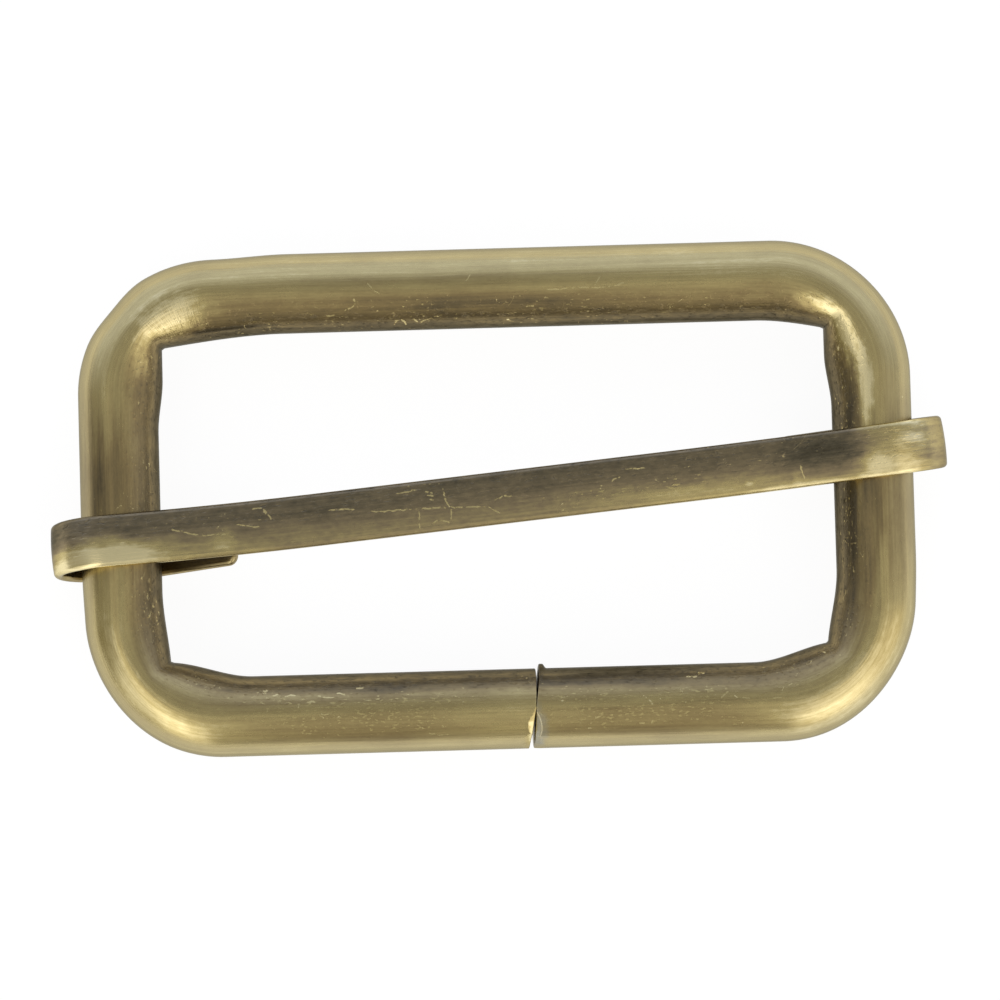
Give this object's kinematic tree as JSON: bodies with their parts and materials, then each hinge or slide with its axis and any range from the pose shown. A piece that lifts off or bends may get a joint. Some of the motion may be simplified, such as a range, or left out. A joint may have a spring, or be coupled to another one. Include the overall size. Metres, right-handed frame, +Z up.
{
  "type": "strap slider buckle",
  "caption": "Wire-frame strap slider: a bent round-wire rectangle with a butt joint and a flat sliding middle bar whose ends are rolled round the short sides.",
  "frame": {"origin": "on the surface the buckle lies on, under the middle of the wire frame", "axes": "+X along the webbing's width, +Y the way the bar slides, away from the side with the butt joint, +Z up out of the frame's plane, through the face with the strip on top"},
  "size_m": [0.0506, 0.0284, 0.0064],
  "materials": {
    "frame_finish": "antique brass plating, brushed along the wire, dark in the recesses",
    "bar_finish": "antique brass plating, darker and rubbed, with fine scratches and press marks"
  },
  "bodies": {
    "frame": {"wire_frame": "frame_finish"},
    "bar": {"slide_bar": "bar_finish"}
  },
  "joints": [
    {"name": "bar_slide", "type": "slide", "parent": "frame", "child": "bar", "axis": [0, 1, 0], "range_m": [-0.0058, 0.0058]}
  ]
}
